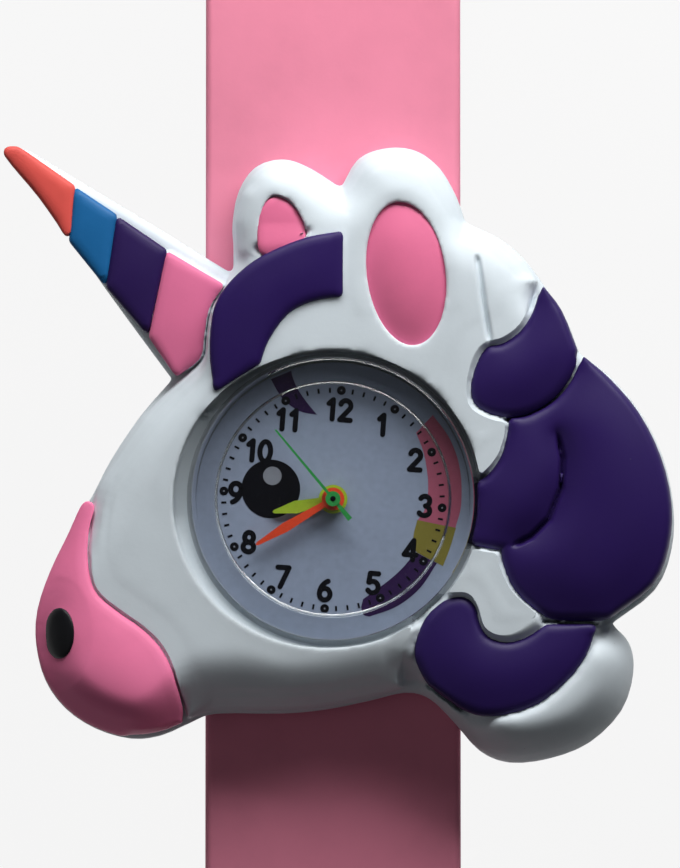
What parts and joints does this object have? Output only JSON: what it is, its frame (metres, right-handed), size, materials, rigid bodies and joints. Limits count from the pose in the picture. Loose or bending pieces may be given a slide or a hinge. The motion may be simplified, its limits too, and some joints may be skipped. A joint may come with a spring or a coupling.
{
  "type": "slap band watch",
  "caption": "Child's slap-band watch: soft unicorn head with raised coloured pads holds a round clear quartz core on a band that curls from straight to a wrist loop.",
  "frame": {"origin": "on the band's underside, below the dial's centre", "axes": "+X to the right of the dial as it is read, +Y along the band past the ears, +Z out of the dial"},
  "size_m": [0.0653, 0.212, 0.0126],
  "materials": {
    "white_silicone": "satin moulded silicone",
    "band_silicone": "satin moulded silicone",
    "purple_silicone": "satin moulded silicone",
    "orange_silicone": "satin moulded silicone",
    "blue_silicone": "satin moulded silicone",
    "horn_pink_silicone": "satin moulded silicone",
    "ear_pink_silicone": "satin moulded silicone",
    "muzzle_pink_silicone": "satin moulded silicone",
    "black_silicone": "satin moulded silicone",
    "spring_steel": "cold rolled",
    "clear_plastic": "polished clear plastic",
    "dial_print": "printed",
    "lime_paint": "painted",
    "red_paint": "painted",
    "green_paint": "painted",
    "brass": "plated",
    "steel": "brushed",
    "copper": "enamelled wire",
    "white_nylon": "moulded",
    "rotor_magnet": "sintered",
    "board": "lacquered",
    "gasket_rubber": "matt"
  },
  "bodies": {
    "head": {"head_body": "white_silicone", "horn_tip": "orange_silicone", "horn_upper": "blue_silicone", "horn_lower": "purple_silicone", "horn_base": "horn_pink_silicone", "forelock": "purple_silicone", "left_ear_lining": "ear_pink_silicone", "right_ear_lining": "ear_pink_silicone", "mane_top": "purple_silicone", "mane_main": "purple_silicone", "mane_lower": "purple_silicone", "muzzle": "muzzle_pink_silicone", "nostril": "black_silicone", "band_middle": "band_silicone", "spring_strip": "spring_steel"},
    "core": {"core_case": "clear_plastic", "crystal": "clear_plastic", "dial": "dial_print", "main_plate": "brass", "train_bridge": "steel", "bridge_screws": "steel", "coil": "copper", "stator": "steel", "circuit_board": "board", "quartz_can": "steel", "button_cell": "steel", "battery_clip": "steel", "gasket": "gasket_rubber", "case_back": "steel"},
    "upper_1": {"band_upper_1": "band_silicone"},
    "upper_2": {"band_upper_2": "band_silicone"},
    "upper_3": {"band_upper_3": "band_silicone"},
    "upper_4": {"band_upper_4": "band_silicone"},
    "upper_5": {"band_upper_5": "band_silicone"},
    "upper_6": {"band_upper_6": "band_silicone"},
    "lower_1": {"band_lower_1": "band_silicone"},
    "lower_2": {"band_lower_2": "band_silicone"},
    "lower_3": {"band_lower_3": "band_silicone"},
    "lower_4": {"band_lower_4": "band_silicone"},
    "lower_5": {"band_lower_5": "band_silicone"},
    "lower_6": {"band_lower_6": "band_silicone"},
    "seconds": {"seconds_wheel": "white_nylon", "second_hand": "green_paint"},
    "rotor": {"rotor": "rotor_magnet"},
    "intermediate": {"intermediate_wheel": "white_nylon"},
    "third": {"third_wheel": "white_nylon"},
    "centre": {"centre_wheel": "white_nylon"},
    "minutes": {"cannon_pinion": "brass", "minute_hand": "red_paint"},
    "minute_gear": {"minute_wheel": "white_nylon"},
    "hours": {"hour_wheel": "white_nylon", "hour_hand": "lime_paint"},
    "setting": {"setting_lever": "steel"},
    "crown": {"stem": "steel", "crown": "steel"}
  },
  "joints": [
    {"name": "upper_curl_1", "type": "hinge", "parent": "head", "child": "upper_1", "pos_m": [0, 0.018, 0], "axis": [-1, 0, 0], "range_deg": [0, 30], "deforming": ["spring_strip"]},
    {"name": "upper_curl_2", "type": "hinge", "parent": "upper_1", "child": "upper_2", "pos_m": [0, 0.03267, 0], "axis": [-1, 0, 0], "range_deg": [0, 30]},
    {"name": "upper_curl_3", "type": "hinge", "parent": "upper_2", "child": "upper_3", "pos_m": [0, 0.04733, 0], "axis": [-1, 0, 0], "range_deg": [0, 30]},
    {"name": "upper_curl_4", "type": "hinge", "parent": "upper_3", "child": "upper_4", "pos_m": [0, 0.062, 0], "axis": [-1, 0, 0], "range_deg": [0, 30]},
    {"name": "upper_curl_5", "type": "hinge", "parent": "upper_4", "child": "upper_5", "pos_m": [0, 0.07667, 0], "axis": [-1, 0, 0], "range_deg": [0, 30]},
    {"name": "upper_curl_6", "type": "hinge", "parent": "upper_5", "child": "upper_6", "pos_m": [0, 0.09133, 0], "axis": [-1, 0, 0], "range_deg": [0, 30]},
    {"name": "lower_curl_1", "type": "hinge", "parent": "head", "child": "lower_1", "pos_m": [0, -0.018, 0], "axis": [1, 0, 0], "range_deg": [0, 30], "deforming": ["spring_strip"]},
    {"name": "lower_curl_2", "type": "hinge", "parent": "lower_1", "child": "lower_2", "pos_m": [0, -0.03267, 0], "axis": [1, 0, 0], "range_deg": [0, 30]},
    {"name": "lower_curl_3", "type": "hinge", "parent": "lower_2", "child": "lower_3", "pos_m": [0, -0.04733, 0], "axis": [1, 0, 0], "range_deg": [0, 30]},
    {"name": "lower_curl_4", "type": "hinge", "parent": "lower_3", "child": "lower_4", "pos_m": [0, -0.062, 0], "axis": [1, 0, 0], "range_deg": [0, 30]},
    {"name": "lower_curl_5", "type": "hinge", "parent": "lower_4", "child": "lower_5", "pos_m": [0, -0.07667, 0], "axis": [1, 0, 0], "range_deg": [0, 30]},
    {"name": "lower_curl_6", "type": "hinge", "parent": "lower_5", "child": "lower_6", "pos_m": [0, -0.09133, 0], "axis": [1, 0, 0], "range_deg": [0, 30]},
    {"name": "core_lift", "type": "slide", "parent": "head", "child": "core", "axis": [0, 0, 1], "range_m": [0, 0.012]},
    {"name": "second_turn", "type": "hinge", "parent": "core", "child": "seconds", "pos_m": [0, 0, 0.006], "axis": [0, 0, -1], "continuous": true},
    {"name": "rotor_turn", "type": "hinge", "parent": "core", "child": "rotor", "pos_m": [-0.00477, 0.00104, 0.006], "axis": [0, 0, -1], "continuous": true},
    {"name": "intermediate_turn", "type": "hinge", "parent": "core", "child": "intermediate", "pos_m": [-0.00267, 0.00183, 0.006], "axis": [0, 0, -1], "continuous": true},
    {"name": "third_turn", "type": "hinge", "parent": "core", "child": "third", "pos_m": [0.00173, 0.00252, 0.006], "axis": [0, 0, -1], "continuous": true},
    {"name": "centre_turn", "type": "hinge", "parent": "core", "child": "centre", "pos_m": [0, 0, 0.006], "axis": [0, 0, -1], "continuous": true},
    {"name": "minute_turn", "type": "hinge", "parent": "core", "child": "minutes", "pos_m": [0, 0, 0.006], "axis": [0, 0, -1], "continuous": true},
    {"name": "minute_gear_turn", "type": "hinge", "parent": "core", "child": "minute_gear", "pos_m": [0.00065, -0.00231, 0.006], "axis": [0, 0, -1], "continuous": true},
    {"name": "hour_turn", "type": "hinge", "parent": "core", "child": "hours", "pos_m": [0, 0, 0.006], "axis": [0, 0, -1], "continuous": true},
    {"name": "crown_pull", "type": "slide", "parent": "core", "child": "setting", "axis": [0.9971, -0.0767, 0], "range_m": [0, 0.0007]},
    {"name": "crown_turn", "type": "hinge", "parent": "setting", "child": "crown", "pos_m": [0, 0, 0.006], "axis": [0.9971, -0.0767, 0], "continuous": true}
  ],
  "couplings": [
    {"joint": "upper_curl_2", "follows": "upper_curl_1", "ratio": 1},
    {"joint": "upper_curl_3", "follows": "upper_curl_1", "ratio": 1},
    {"joint": "upper_curl_4", "follows": "upper_curl_1", "ratio": 1},
    {"joint": "upper_curl_5", "follows": "upper_curl_1", "ratio": 1},
    {"joint": "upper_curl_6", "follows": "upper_curl_1", "ratio": 1},
    {"joint": "lower_curl_2", "follows": "lower_curl_1", "ratio": 1},
    {"joint": "lower_curl_3", "follows": "lower_curl_1", "ratio": 1},
    {"joint": "lower_curl_4", "follows": "lower_curl_1", "ratio": 1},
    {"joint": "lower_curl_5", "follows": "lower_curl_1", "ratio": 1},
    {"joint": "lower_curl_6", "follows": "lower_curl_1", "ratio": 1},
    {"joint": "rotor_turn", "follows": "second_turn", "ratio": 30},
    {"joint": "intermediate_turn", "follows": "second_turn", "ratio": -5},
    {"joint": "third_turn", "follows": "second_turn", "ratio": -0.13333},
    {"joint": "centre_turn", "follows": "second_turn", "ratio": 0.016667},
    {"joint": "minute_gear_turn", "follows": "minute_turn", "ratio": -0.33333},
    {"joint": "hour_turn", "follows": "minute_turn", "ratio": 0.083333}
  ]
}
